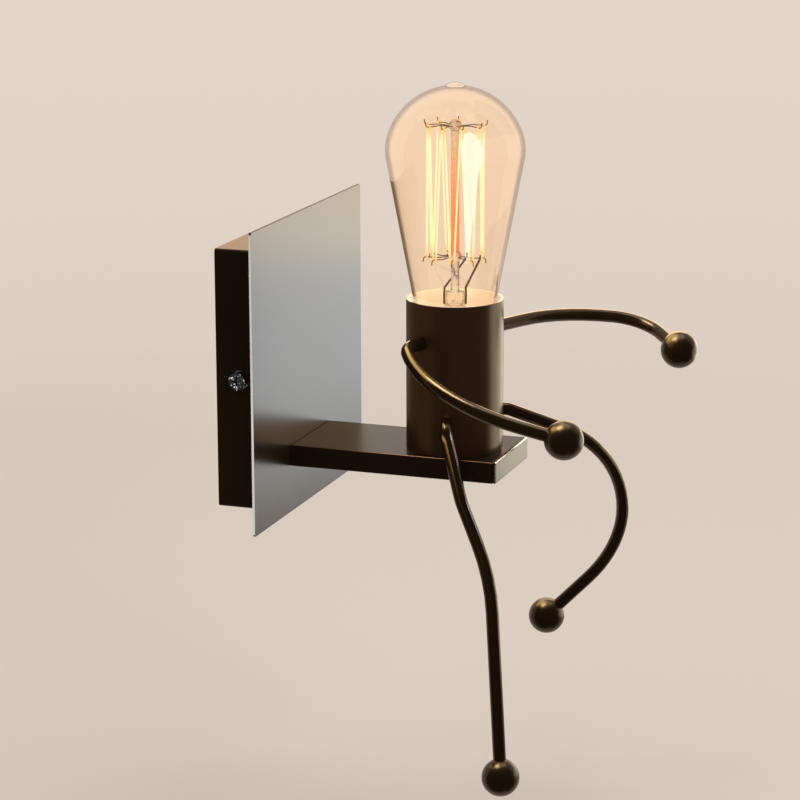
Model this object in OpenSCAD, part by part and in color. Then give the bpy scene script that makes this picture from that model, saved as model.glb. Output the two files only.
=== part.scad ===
// Industrial wall lamp. A square wall box carries a flat bar, and a sleeve on the bar holds a long
// filament bulb. Four bent rods with ball ends, two arms and two legs, turn in the sleeve's wall.
// The wall is the plane Y = 0, the lamp stands out along -Y, and +Z is up. Lengths are millimetres.

/* [Wall box] */
// Side of the square front plate
plate_size = 140; // [128:1:180]
// Thickness of the front plate
plate_t = 1.2; // [0.8:0.1:3]
// Side of the square box behind the plate
box_size = 120; // [104:1:126]
// Depth of the box from the wall to the back of the plate
box_depth = 20.8; // [19:0.1:40]
// Thickness of the box's sheet
sheet_t = 1.2; // [0.8:0.1:2]
// Thread of the screws in the box's sides
side_screw_d = 4; // [3:0.5:5]
// Distance of the side screws from the wall
side_screw_y = 11; // [8:0.5:14]

/* [Wall bracket] */
// Height of the bracket's strap
bracket_w = 20; // [14:1:30]
// Thickness of the bracket's strap
bracket_t = 1.5; // [1:0.1:2.5]
// Length of the lugs that the side screws go into
lug_len = 16; // [15:0.5:18]
// Distance between the two wall screws
slot_spacing = 60; // [50:1:70]
// Width of each wall screw slot
slot_w = 5; // [4:0.5:7]
// Length of each wall screw slot, end to end
slot_len = 14; // [10:1:20]

/* [Support bar] */
// Width of the bar
bar_w = 50; // [46:1:70]
// Height of the bar
bar_h = 10; // [9:0.5:16]
// Length of the bar in front of the plate
bar_len = 100; // [80:1:160]
// Wall of the bar's tube
bar_wall = 1.5; // [1:0.1:2]
// Bar's top face below the middle of the plate
bar_drop = 38; // [30:1:46]

/* [Sleeve] */
// Outside diameter of the sleeve
sleeve_d = 45; // [44.5:0.5:50]
// Height of the sleeve
sleeve_h = 70; // [62:1:73]
// Wall of the sleeve
sleeve_wall = 1.2; // [0.8:0.1:1.4]
// Floor of the sleeve
sleeve_floor = 2; // [1.5:0.1:4]
// Distance of the sleeve's axis from the bar's end
sleeve_setback = 28; // [26:1:40]
// Turn of the four rods about the sleeve's axis, towards the left side
body_turn = 24; // [0:1:30]
// Height of the arm holes above the bar
arm_hole_h = 52; // [48:0.5:54]
// Height of the leg holes above the bar
leg_hole_h = 16; // [13:0.5:20]
// Angle of the leg holes from the front of the turned sleeve
leg_spread = 57; // [50:1:64]

/* [Rods and balls] */
// Diameter of the rods
rod_d = 6; // [5.5:0.1:7]
// Diameter of the threaded root that goes through the sleeve's wall
root_d = 5; // [4:0.1:5.2]
// Diameter of the balls
ball_d = 17.5; // [14:0.5:22]
// Radial clearance of the roots in the sleeve's holes
root_clear = 0.05; // [0.02:0.01:0.1]
// Width across flats of the root nuts
root_nut_af = 8; // [8:0.5:9]
// Thickness of the root nuts
root_nut_h = 2.7; // [2:0.1:2.8]

/* [Left arm] */
// Turn of the arm about its root, forward from hanging
left_arm_swivel = 72; // [60:1:90]
// Straight run out of the sleeve
left_arm_out = 4; // [2:0.5:10]
// Radius of the shoulder bend
left_arm_shoulder_r = 13; // [10:0.5:18]
// Angle of the shoulder bend
left_arm_shoulder = 54; // [40:1:60]
// Radius of the forearm's long bend
left_arm_sweep_r = 62; // [50:1:80]
// Angle of the forearm's long bend
left_arm_sweep = 70; // [50:1:75]
// Straight run into the ball's centre
left_arm_end = 20.5; // [16:0.5:40]

/* [Right arm] */
// Turn of the arm about its root, forward from hanging
right_arm_swivel = 75; // [60:1:90]
// Straight run out of the sleeve
right_arm_out = 24; // [15:0.5:35]
// Radius of the long bend
right_arm_sweep_r = 90; // [60:1:120]
// Angle of the long bend
right_arm_sweep = 34; // [20:1:40]
// Radius of the wrist bend
right_arm_wrist_r = 20; // [16:0.5:30]
// Angle of the wrist bend
right_arm_wrist = 76; // [50:1:80]
// Straight run into the ball's centre
right_arm_end = 18.5; // [15:0.5:40]

/* [Left leg] */
// Turn of the leg about its root, forward from hanging
left_leg_swivel = 15; // [0:1:25]
// Straight run out of the sleeve
left_leg_out = 1; // [0.8:0.1:3]
// Radius of the hip bend
left_leg_hip_r = 8; // [7.5:0.5:12]
// Angle of the hip bend
left_leg_hip = 82; // [76:1:88]
// Straight run of the thigh
left_leg_thigh = 25; // [15:0.5:40]
// Radius of the knee bend
left_leg_knee_r = 40; // [25:1:60]
// Angle of the knee bend
left_leg_knee = 8; // [2:1:20]
// Straight run of the shin
left_leg_shin = 18; // [5:0.5:40]
// Radius of the ankle bend
left_leg_ankle_r = 100; // [60:1:140]
// Angle of the ankle bend
left_leg_ankle = 18.5; // [5:0.5:25]
// Straight run into the ball's centre
left_leg_end = 76; // [40:0.5:90]

/* [Right leg] */
// Turn of the leg about its root, forward from hanging
right_leg_swivel = -20; // [-30:1:0]
// Straight run out of the sleeve
right_leg_out = 1; // [0.8:0.1:3]
// Radius of the hip bend
right_leg_hip_r = 8; // [7.5:0.5:12]
// Angle of the hip bend
right_leg_hip = 25; // [15:1:35]
// Straight run of the thigh
right_leg_thigh = 30; // [20:0.5:45]
// Radius of the upper half of the knee bend
right_leg_knee_r = 62; // [45:1:80]
// Angle of the upper half of the knee bend
right_leg_knee = 58; // [45:1:65]
// Radius of the lower half of the knee bend
right_leg_calf_r = 53; // [40:1:70]
// Angle of the lower half of the knee bend
right_leg_calf = 48; // [30:1:55]
// Straight run into the ball's centre
right_leg_end = 28.5; // [16:0.5:50]

/* [Lampholder] */
// Outside diameter of the lampholder
holder_d = 33.5; // [33:0.1:34]
// Height of the lampholder's lower dome
dome_h = 14; // [13:0.5:18]
// Height of the lampholder's body
holder_h = 30; // [28:0.5:32]
// Diameter of the hollow threaded nipple
nipple_d = 10; // [9.5:0.1:12]
// Bore of the nipple
nipple_bore = 7.4; // [7:0.1:8]

/* [Bulb] */
// Largest diameter of the glass
bulb_d = 64; // [60:0.5:75]
// Length of the bulb from its contact to its tip
bulb_len = 142; // [132:0.5:160]
// Thickness of the glass
glass_t = 0.9; // [0.6:0.1:1.5]
// Height of the dome above the widest place
bulb_dome_h = 29.5; // [26:0.5:31]
// Radius of the shoulder at the widest place
bulb_shoulder_r = 24; // [18:0.5:25]
// Diameter of the tapered side just above the screw cap
bulb_neck_d = 34.5; // [33:0.1:35]
// Outside diameter of the screw cap
cap_d = 26.2; // [25.8:0.1:26.4]
// Height of the screw cap's shell
cap_h = 20; // [18:0.5:22]
// Radius of the filament cage
cage_r = 13; // [10:0.5:15]
// Length of the filament cage
cage_len = 60; // [45:0.5:60]
// Number of upper filament hooks
hook_count = 8; // [5:1:10]

/* [Wiring] */
// Diameter of the insulated wires
wire_d = 1.8; // [1.4:0.1:1.9]
// Diameter of the wire bush
bush_d = 6.8; // [6.5:0.1:6.9]
// Bore of the wire bush
bush_bore = 5; // [4.9:0.1:5.4]
// Distance between the ways of the terminal block
terminal_pitch = 8; // [7:0.5:10]

/* [Hidden] */
$fn = 64;

// Overlap of a cut past the face that it opens
cut = 1;
// Gap between pieces that are fixed to each other
seat_gap = 0.1;
// Gap between pieces that slide or turn past each other
run_gap = 0.2;

// Places along the lamp's depth and height
plate_back = -box_depth;
plate_front = plate_back - plate_t;
bar_end = plate_front - bar_len;
axis_y = bar_end + sleeve_setback;
bar_top = -bar_drop;
bar_bottom = bar_top - bar_h;
bar_mid = bar_top - bar_h / 2;
bar_inside_top = bar_top - bar_wall;
sleeve_r = sleeve_d / 2;
sleeve_bore_r = sleeve_r - sleeve_wall;
floor_top = bar_top + sleeve_floor;

// Fixings of the box, the plate and the bar
lug_out = box_size / 2 - sheet_t - run_gap;
screw_clear = 0.2;
head_ratio = 2;
head_h_ratio = 0.6;
recess_len_ratio = 1.1;
recess_w_ratio = 0.22;
screw_past = 1;
stud_d = 4;
stud_inset = 15;
stud_at = box_size / 2 - stud_inset;
stud_len = 7;
nut4_af = 7;
nut4_h = 3.2;
end_cap_t = 1.5;
plug_len = 14;
bar_screw_max = 5;
bar_screw_edge = 1;
bar_screw_d = min(bar_screw_max, bar_h - 2 * (bar_wall + bar_screw_edge));
bar_screw_inset = 9;
bar_screw_at = bar_w / 2 - bar_screw_inset;
bar_screw_bite = 10;
access_d = 18;
access_flange = 1.5;
access_flange_t = 1.2;
nut10_wall = 2;
nut10_af = nipple_d + 2 * nut10_wall;
nut10_h = 2.5;

// Terminal block and wires
block_t = 12;
block_h = 16;
block_end = 6;
block_w = 2 * terminal_pitch + 2 * block_end;
block_gap = 2;
block_bottom = bracket_w / 2 + block_gap;
block_way_clear = 0.6;
block_way_d = wire_d + block_way_clear;
block_screw_d = 3.6;
block_screw_h = 3;
block_screw_sunk = 1;
block_screw_rows = [0.25 * block_h, 0.75 * block_h];
block_slot_w = 1;
block_slot_depth = 0.3;
block_back = plate_back + sheet_t + block_t;
wire_y = plate_back + sheet_t + block_t / 2;
wire_gap = 0.4;
wire_x = (wire_d + wire_gap) / 2;
wire_bend_r = 6;
wire_room = 0.7;
wire_sides = 8;
bend_step = 5;
wire_run_z = bar_inside_top - nut10_h - wire_room - wire_d / 2;
jog = 20;
jog_run = (terminal_pitch - wire_x - 2 * wire_bend_r * (1 - cos(jog))) / sin(jog);
jog_drop = jog_run * cos(jog) + 2 * wire_bend_r * sin(jog);
wire_in = 4;
wire_land = 1;
wire_start = block_bottom + wire_in;
rise_r = 5;
earth_z = -bracket_w / 2;
earth_stud_len = 5;
lug_t = 0.8;
lug_d = 8;
lug_barrel = 6;
lug_wall = 0.6;
lug_barrel_d = wire_d + 2 * lug_wall;
lug_reach = nut4_af / 2 + wire_gap;
earth_bend_r = 4;
earth_bend = 40;
earth_wire_y = plate_back + sheet_t + lug_barrel_d / 2;
earth_slant = (wire_y - earth_wire_y - 2 * earth_bend_r * (1 - cos(earth_bend))) / sin(earth_bend);
earth_drop = earth_slant * cos(earth_bend) + 2 * earth_bend_r * sin(earth_bend);
bush_flange_d = 9.6;
bush_flange_t = 1.2;

// Lampholder, from the sleeve's floor upwards
holder_z = floor_top + nut10_h + seat_gap;
dome_wall = 3;
body_z = holder_z + dome_h;
web_t = 4;
web_top = body_z + web_t;
shell_t = 0.4;
shell_clear = 0.3;
shell_in = cap_d / 2 + shell_clear;
thread_bump = 0.3;
ridge_r = 1;
thread_pitch = 3.629;
well_r = shell_in + shell_t + thread_bump + seat_gap;
shell_below = 2.5;
shell_h = holder_h - web_t - shell_below;
shell_floor_r = 8;
contact_h = 4.8;
contact_post_d = 2;
contact_leaf_d = 8;
contact_leaf_t = 0.6;
tab_t = 0.6;
tab_w = 4;
side_post_x = 10;

// Bulb, from its contact upwards
bulb_z = web_top + contact_h + run_gap;
bulb_top = bulb_z + bulb_len;
eyelet_d = 10;
eyelet_h = 1.5;
insulator_h = 4;
insulator_lip = 0.5;
insulator_in = 1.5;
cap_z = bulb_z + eyelet_h + insulator_h;
cap_top = cap_z + cap_h;
cap_wall = 0.5;
neck_gap = 0.3;
tip_h = 1.6;
tip_r = 7;
dome_top = bulb_top - tip_h;
wide_z = dome_top - bulb_dome_h;
shoulder_x = bulb_d / 2 - bulb_shoulder_r;
crown_rise = bulb_dome_h - bulb_shoulder_r;
crown_drop = (shoulder_x * shoulder_x - crown_rise * crown_rise) / (2 * crown_rise);
crown_r = crown_drop + bulb_dome_h;
crown_meet = crown_drop * bulb_shoulder_r / norm([shoulder_x, crown_drop]);
neck_round = 5;
neck_in = 6;
neck_z = cap_top + neck_gap + neck_round;
neck_x = bulb_neck_d / 2;
neck_to_wide = [shoulder_x - neck_x, wide_z - neck_z];
taper = 90 - atan2(neck_to_wide[1], neck_to_wide[0]) + asin(bulb_shoulder_r / norm(neck_to_wide));
taper_x = shoulder_x + bulb_shoulder_r * cos(taper);
taper_z = wide_z - bulb_shoulder_r * sin(taper);
neck_r = neck_x - neck_round;
cap_in = cap_d / 2 - cap_wall - thread_bump;
tube_r = cap_in - seat_gap;

// Stem, hooks and filament inside the glass
stem_r = 4.6;
stem_t = 1.1;
stem_flare_h = 7;
stem_rise = 20;
stem_top = cap_top + stem_rise;
press_h = 6;
press_r = 4.3;
press_t = 4.6;
rod_glass_r = 2;
rod_glass_in = 1;
bead_r = 3;
cage_rise = 11;
cage_top = wide_z + cage_rise;
cage_bottom = cage_top - cage_len;
thin_sides = 6;
filament_d = 0.9;
hook_d = 0.5;
lead_d = 1.1;
turn_gap = 0.25;
turn_r = (hook_d + filament_d) / 2 + turn_gap;
hook_tip = 2.4;
hook_past = 1.4;
hook_elbow = 0.6;
hook_bow = 0.5;
hook_kick = 0.6;
hook_lean = 0.3;
cage_step = 360 / (hook_count + 1);
cage_phase = -7.5;
press_turn = -70.5;
hook_seat = 0.03;
lead_top = 1;
lead_rise = 1.5;
lead_fan = [-15, 10];
lead_lean = 0.5;
lead_below = 2.5;
lead_end = 0.5;

// Rods: each run is a straight length, then a bend's radius and angle, after a roll about the rod
front = -90 - body_turn;
arm_z = bar_top + arm_hole_h;
leg_z = bar_top + leg_hole_h;
left_arm_at = front - 90;
right_arm_at = front + 90;
left_leg_at = front - leg_spread;
right_leg_at = front + leg_spread;
left_arm_runs = [
    [left_arm_out, left_arm_shoulder_r, left_arm_shoulder, 0],
    [0, left_arm_sweep_r, left_arm_sweep, 0],
    [left_arm_end, 0, 0, 0]
];
right_arm_runs = [
    [right_arm_out, right_arm_sweep_r, right_arm_sweep, 0],
    [0, right_arm_wrist_r, right_arm_wrist, 0],
    [right_arm_end, 0, 0, 0]
];
left_leg_runs = [
    [left_leg_out, left_leg_hip_r, left_leg_hip, 0],
    [left_leg_thigh, left_leg_knee_r, left_leg_knee, 90],
    [left_leg_shin, left_leg_ankle_r, left_leg_ankle, 180],
    [left_leg_end, 0, 0, 0]
];
right_leg_runs = [
    [right_leg_out, right_leg_hip_r, right_leg_hip, 0],
    [right_leg_thigh, right_leg_knee_r, right_leg_knee, 0],
    [0, right_leg_calf_r, right_leg_calf, 0],
    [right_leg_end, 0, 0, 0]
];
nut_corner_r = root_nut_af / 2 / cos(30);
root_nut_face = sqrt(sleeve_bore_r * sleeve_bore_r - nut_corner_r * nut_corner_r) - run_gap;
root_end = root_nut_face - root_nut_h - run_gap;
ball_bore_clear = 0.02;
root_in = 0.5;
rod_sides = 28;
near_upright = 0.9;

// Finishes
dark_bronze = [0.14, 0.11, 0.09];
zinc = [0.74, 0.75, 0.76];
brass_tone = [0.80, 0.66, 0.36];
ivory = [0.90, 0.88, 0.82];
black_plastic = [0.07, 0.07, 0.07];
brown_pvc = [0.36, 0.20, 0.10];
blue_pvc = [0.12, 0.28, 0.62];
green_yellow_pvc = [0.55, 0.66, 0.16];
tin = [0.72, 0.72, 0.70];
black_glass = [0.10, 0.09, 0.12];
glowing = [0.98, 0.78, 0.42];
amber_glass = [0.93, 0.72, 0.50, 0.35];
clear_glass = [0.90, 0.93, 0.93, 0.45];

// Forms that repeat

// A rod or wire along its runs, from the origin up +Z, bending towards +X
module bent(runs, d, sides) {
    swept(run_points(runs), d, sides);
}

// Carries its children to the end of the last run, with +Z along it
module at_end(runs) {
    end = run_end(runs);
    x = end[2];
    y = cross(end[1], end[2]);
    z = end[1];
    multmatrix([
        [x[0], y[0], z[0], end[0][0]],
        [x[1], y[1], z[1], end[0][1]],
        [x[2], y[2], z[2], end[0][2]]
    ]) children();
}

// A place on the rod is [point, direction, side that it bends towards]
start_place = [[0, 0, 0], [0, 0, 1], [1, 0, 0]];

// The place before a run's bend, after its straight and its roll
function before_bend(run, at) = [
    at[0] + run[0] * at[1],
    at[1],
    cos(run[3]) * at[2] + sin(run[3]) * cross(at[1], at[2])
];

// The place part of the way round a run's bend
function on_bend(run, at, turned) = [
    at[0] + run[1] * (sin(turned) * at[1] + (1 - cos(turned)) * at[2]),
    cos(turned) * at[1] + sin(turned) * at[2],
    cos(turned) * at[2] - sin(turned) * at[1]
];

function run_end(runs, at = start_place, i = 0) =
    i == len(runs) ? at : run_end(runs, on_bend(runs[i], before_bend(runs[i], at), runs[i][2]), i + 1);

function run_points(runs, at = start_place, i = 0) =
    i == len(runs) ? [] :
    let (
        bend = before_bend(runs[i], at),
        steps = ceil(runs[i][2] / bend_step),
        round = [for (k = [1:1:steps]) on_bend(runs[i], bend, runs[i][2] * k / steps)[0]]
    )
    concat(
        i == 0 ? [at[0]] : [],
        runs[i][0] > 0 ? [bend[0]] : [],
        round,
        run_points(runs, on_bend(runs[i], bend, runs[i][2]), i + 1)
    );

// A root's axis in the sleeve's wall: +Z points out of the sleeve, and +X hangs down before the turn
module at_root(angle, z, turn) {
    translate([0, axis_y, z]) rotate([0, 0, angle]) rotate([0, 90, 0]) rotate([0, 0, turn]) children();
}

module limb_rod(angle, z, turn, runs) {
    first = [[runs[0][0] - run_gap, runs[0][1], runs[0][2], runs[0][3]]];
    rest = [for (i = [1:len(runs) - 1]) runs[i]];
    color(dark_bronze) at_root(angle, z, turn) {
        translate([0, 0, root_end]) cylinder(h = sleeve_r + run_gap + root_in - root_end, d = root_d);
        translate([0, 0, sleeve_r + run_gap]) bent(concat(first, rest), rod_d, rod_sides);
    }
}

module limb_ball(angle, z, turn, runs) {
    color(dark_bronze) at_root(angle, z, turn) translate([0, 0, sleeve_r]) at_end(runs)
        difference() {
            sphere(d = ball_d);
            translate([0, 0, -ball_d]) cylinder(h = ball_d + seat_gap, d = rod_d + 2 * ball_bore_clear);
        }
}

module limb_nut(angle, z, turn) {
    color(zinc) at_root(angle, z, turn) translate([0, 0, root_nut_face - root_nut_h])
        hex_nut(root_nut_af, root_nut_h, root_d + 2 * root_clear);
}

module hex_nut(af, h, bore) {
    difference() {
        cylinder(h = h, d = af / cos(30), $fn = 6);
        translate([0, 0, -cut]) cylinder(h = h + 2 * cut, d = bore);
    }
}

// A screw along +Z with its pan head under the origin
module pan_screw(d, len) {
    cylinder(h = len, d = d);
    translate([0, 0, -d * head_h_ratio]) cylinder(h = d * head_h_ratio, d = d * head_ratio);
}

// A square with round corners, centred
module round_square(side, r) {
    for (s = [[side, side - 2 * r], [side - 2 * r, side]]) square(s, center = true);
    for (x = [-1, 1], y = [-1, 1]) translate([x, y] * (side / 2 - r)) circle(r);
}

// Stands a flat outline up in the XZ plane and thickens it from y = back towards -Y
module slab(back, t) {
    translate([0, back, 0]) rotate([90, 0, 0]) linear_extrude(height = t) children();
}

// A drilling along Y through everything between two depths
module drill(x, z, from, to, d) {
    translate([x, from + cut, z]) rotate([90, 0, 0]) cylinder(h = from - to + 2 * cut, d = d);
}

// A wire of flat sides swept along its points, as one closed solid
module swept(path, d, sides) {
    last = len(path) - 1;
    ways = [for (i = [0:last]) unit(path[min(i + 1, last)] - path[max(i - 1, 0)])];
    lying = abs(ways[0][2]) < near_upright;
    sides_at = carried(ways, unit(cross(ways[0], lying ? [0, 0, 1] : [1, 0, 0])));
    points = [for (i = [0:last], k = [0:sides - 1])
        let (a = 360 * k / sides)
        path[i] + d / 2 * (cos(a) * sides_at[i] + sin(a) * cross(ways[i], sides_at[i]))];
    walls = [for (i = [0:last - 1], k = [0:sides - 1])
        let (j = (k + 1) % sides, a = i * sides, b = a + sides)
        each [[a + k, b + k, b + j], [a + k, b + j, a + j]]];
    near_end = [for (k = [1:sides - 2]) [0, k, k + 1]];
    far_end = [for (k = [1:sides - 2]) [last * sides, last * sides + k + 1, last * sides + k]];
    polyhedron(points, concat(walls, near_end, far_end), convexity = 10);
}

function unit(v) = v / norm(v);

// The side direction of each ring, turned as little as the path allows
function carried(ways, side, i = 0) =
    i == len(ways) ? [] :
    let (s = unit(side - (side * ways[i]) * ways[i])) concat([s], carried(ways, s, i + 1));

// A point of the bulb from its radius, angle and height
function polar(r, a, z) = [r * cos(a), axis_y + r * sin(a), z];

// Wall box

module wall_bracket() {
    bend_r = bracket_t;
    color(zinc) difference() {
        translate([0, 0, -bracket_w / 2]) linear_extrude(height = bracket_w) difference() {
            bent_end(2 * lug_out, lug_len, bend_r + bracket_t);
            translate([0, -bracket_t]) bent_end(2 * (lug_out - bracket_t), lug_len, bend_r);
        }
        for (s = [-1, 1], e = [-1, 1])
            drill(s * slot_spacing / 2 + e * (slot_len - slot_w) / 2, 0, 0, -bracket_t, slot_w);
        for (s = [-1, 1])
            translate([s * slot_spacing / 2 - (slot_len - slot_w) / 2, -bracket_t - cut, -slot_w / 2])
                cube([slot_len - slot_w, bracket_t + 2 * cut, slot_w]);
        drill(0, 0, 0, -bracket_t, bracket_w / 2);
        for (s = [-1, 1])
            translate([s * (lug_out - bracket_t / 2), -side_screw_y, 0]) rotate([0, 90, 0])
                cylinder(h = 2 * bracket_t, d = side_screw_d + screw_clear, center = true);
    }
}

// A block from y = 0 towards -Y with its two corners at y = 0 rounded
module bent_end(w, depth, r) {
    translate([-w / 2, -depth]) square([w, depth - r]);
    translate([r - w / 2, -r]) square([w - 2 * r, r]);
    for (s = [-1, 1]) translate([s * (w / 2 - r), -r]) circle(r);
}

module back_box() {
    corner_r = 1.5;
    color(dark_bronze) difference() {
        union() {
            difference() {
                slab(0, box_depth) round_square(box_size, corner_r);
                slab(cut, box_depth - sheet_t + cut)
                    round_square(box_size - 2 * sheet_t, corner_r - sheet_t / 2);
            }
            translate([0, plate_back + sheet_t / 2, earth_z]) rotate([-90, 0, 0])
                cylinder(h = sheet_t / 2 + earth_stud_len, d = stud_d);
        }
        for (s = [-1, 1])
            translate([s * (box_size - sheet_t) / 2, -side_screw_y, 0]) rotate([0, 90, 0])
                cylinder(h = 2 * sheet_t, d = side_screw_d + 2 * screw_clear, center = true);
        for (x = [-1, 1], z = [-1, 1])
            drill(x * stud_at, z * stud_at, plate_back + sheet_t, plate_back, stud_d + screw_clear);
        bar_fixing_holes(plate_back + sheet_t, plate_back);
    }
}

// Holes for the bar's screws and the wire bush, between two depths
module bar_fixing_holes(from, to) {
    for (s = [-1, 1]) drill(s * bar_screw_at, bar_mid, from, to, bar_screw_d + screw_clear);
    drill(0, wire_run_z, from, to, bush_d + screw_clear);
}

module side_screws() {
    color(zinc) for (s = [-1, 1])
        translate([s * (box_size / 2 + seat_gap), -side_screw_y, 0]) rotate([0, -s * 90, 0]) side_screw();
}

// A pan head screw with a cross recess in its head
module side_screw() {
    head_h = side_screw_d * head_h_ratio;
    recess = [side_screw_d * recess_len_ratio, side_screw_d * recess_w_ratio, head_h];
    difference() {
        pan_screw(side_screw_d, sheet_t + 2 * bracket_t + screw_past);
        for (a = [0, 90]) rotate([0, 0, a]) translate([0, 0, -head_h]) cube(recess, center = true);
    }
}

module front_plate() {
    corner_r = 1;
    color(dark_bronze) difference() {
        union() {
            slab(plate_back, plate_t) round_square(plate_size, corner_r);
            for (x = [-1, 1], z = [-1, 1])
                translate([x * stud_at, plate_back - plate_t / 2, z * stud_at]) rotate([-90, 0, 0])
                    cylinder(h = plate_t / 2 + stud_len, d = stud_d);
        }
        bar_fixing_holes(plate_back, plate_front);
    }
}

module plate_nuts() {
    color(zinc) for (x = [-1, 1], z = [-1, 1])
        translate([x * stud_at, plate_back + sheet_t, z * stud_at]) rotate([-90, 0, 0])
            hex_nut(nut4_af, nut4_h, stud_d + screw_clear);
}

// Support bar

module support_bar() {
    inside_w = bar_w - 2 * bar_wall;
    inside_h = bar_h - 2 * bar_wall;
    tube_end = bar_end + end_cap_t;
    color(dark_bronze) difference() {
        translate([-bar_w / 2, tube_end, bar_bottom]) cube([bar_w, plate_front - tube_end, bar_h]);
        translate([-inside_w / 2, tube_end - cut, bar_bottom + bar_wall])
            cube([inside_w, plate_front - tube_end + 2 * cut, inside_h]);
        translate([0, axis_y, bar_mid]) cylinder(h = bar_h, d = nipple_d + screw_clear);
        translate([0, axis_y, bar_bottom - cut]) cylinder(h = bar_wall + 2 * cut, d = access_d);
    }
}

module bar_end_cap() {
    color(dark_bronze) translate([-bar_w / 2, bar_end, bar_bottom]) cube([bar_w, end_cap_t, bar_h]);
}

module bar_plug() {
    w = bar_w - 2 * bar_wall - 2 * seat_gap;
    h = bar_h - 2 * bar_wall - 2 * seat_gap;
    color(zinc) difference() {
        translate([-w / 2, plate_front - plug_len, bar_mid - h / 2]) cube([w, plug_len, h]);
        for (s = [-1, 1])
            drill(s * bar_screw_at, bar_mid, plate_front, plate_front - plug_len, bar_screw_d + screw_clear);
        drill(0, wire_run_z, plate_front, plate_front - plug_len, bush_bore);
    }
}

module bar_screws() {
    reach = sheet_t + plate_t + bar_screw_bite;
    color(zinc) for (s = [-1, 1])
        translate([s * bar_screw_at, plate_back + sheet_t, bar_mid]) rotate([90, 0, 0])
            pan_screw(bar_screw_d, reach);
}

module access_plug() {
    color(black_plastic) translate([0, axis_y, bar_bottom]) {
        translate([0, 0, -access_flange_t]) cylinder(h = access_flange_t, d = access_d + 2 * access_flange);
        cylinder(h = bar_wall, d = access_d - 2 * seat_gap);
    }
}

// Wiring

module terminal_block() {
    color(ivory) difference() {
        translate([-block_w / 2, block_back - block_t, block_bottom]) cube([block_w, block_t, block_h]);
        for (i = [-1:1]) {
            translate([i * terminal_pitch, wire_y, block_bottom - cut])
                cylinder(h = block_h + 2 * cut, d = block_way_d);
            for (z = block_screw_rows)
                drill(i * terminal_pitch, block_bottom + z, block_back,
                    block_back - block_screw_sunk - block_screw_h, block_screw_d + screw_clear);
        }
    }
}

module terminal_screws() {
    slot = [block_screw_d + cut, block_slot_w, 2 * block_slot_depth];
    color(brass_tone) for (i = [-1:1], z = block_screw_rows)
        translate([i * terminal_pitch, block_back - block_screw_sunk, block_bottom + z])
            rotate([90, 0, 0]) difference() {
                cylinder(h = block_screw_h, d = block_screw_d);
                cube(slot, center = true);
            }
}

module wire_bush() {
    color(black_plastic) translate([0, plate_back + sheet_t, wire_run_z]) rotate([90, 0, 0]) difference() {
        union() {
            cylinder(h = sheet_t + plate_t, d = bush_d);
            translate([0, 0, -bush_flange_t]) cylinder(h = bush_flange_t, d = bush_flange_d);
        }
        translate([0, 0, -bush_flange_t - cut])
            cylinder(h = bush_flange_t + sheet_t + plate_t + 2 * cut, d = bush_bore);
    }
}

// From the block's way on one side, down the box, along the bar and up the nipple
module mains_wire(side) {
    down = wire_start - jog_drop - wire_run_z - wire_bend_r;
    along = wire_y - wire_bend_r - axis_y - rise_r;
    up = body_z - tab_t - seat_gap - wire_run_z - rise_r;
    runs = [
        [down - wire_land, wire_bend_r, jog, side > 0 ? 180 : 0],
        [jog_run, wire_bend_r, jog, 180],
        [wire_land, wire_bend_r, 90, side > 0 ? 90 : -90],
        [along, rise_r, 90, 0],
        [up, 0, 0, 0]
    ];
    translate([side * terminal_pitch, wire_y, wire_start]) rotate([180, 0, 0]) bent(runs, wire_d, wire_sides);
}

module live_wire() {
    color(brown_pvc) mains_wire(-1);
}

module neutral_wire() {
    color(blue_pvc) mains_wire(1);
}

module earth_wire() {
    runs = [
        [wire_in + wire_land, earth_bend_r, earth_bend, 90],
        [earth_slant, earth_bend_r, earth_bend, 180],
        [wire_start - wire_in - wire_land - earth_drop - earth_z - lug_reach - lug_t, 0, 0, 0]
    ];
    color(green_yellow_pvc) translate([0, wire_y, wire_start]) rotate([180, 0, 0])
        bent(runs, wire_d, wire_sides);
}

module earth_lug() {
    barrel_z = earth_z + lug_reach;
    color(zinc) difference() {
        union() {
            slab(plate_back + sheet_t + lug_t, lug_t) {
                translate([0, earth_z]) circle(d = lug_d);
                translate([-lug_barrel_d / 2, earth_z]) square([lug_barrel_d, lug_reach + lug_t]);
            }
            translate([0, earth_wire_y, barrel_z]) cylinder(h = lug_barrel, d = lug_barrel_d);
        }
        drill(0, earth_z, plate_back + sheet_t + lug_t, plate_back + sheet_t, stud_d + screw_clear);
        translate([0, earth_wire_y, barrel_z + lug_t]) cylinder(h = lug_barrel, d = wire_d + seat_gap);
    }
}

module earth_nut() {
    color(zinc) translate([0, plate_back + sheet_t + lug_t, earth_z]) rotate([-90, 0, 0])
        hex_nut(nut4_af, nut4_h, stud_d + screw_clear);
}

// Sleeve and lampholder

module sleeve() {
    color(dark_bronze) difference() {
        translate([0, axis_y, bar_top]) cylinder(h = sleeve_h, r = sleeve_r);
        translate([0, axis_y, floor_top]) cylinder(h = sleeve_h, r = sleeve_bore_r);
        translate([0, axis_y, bar_top - cut])
            cylinder(h = sleeve_floor + 2 * cut, d = nipple_d + screw_clear);
        for (angle = [left_arm_at, right_arm_at]) root_hole(angle, arm_z);
        for (angle = [left_leg_at, right_leg_at]) root_hole(angle, leg_z);
    }
}

module root_hole(angle, z) {
    at_root(angle, z, 0) translate([0, 0, sleeve_r / 2])
        cylinder(h = sleeve_r, d = root_d + 2 * root_clear);
}

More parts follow.
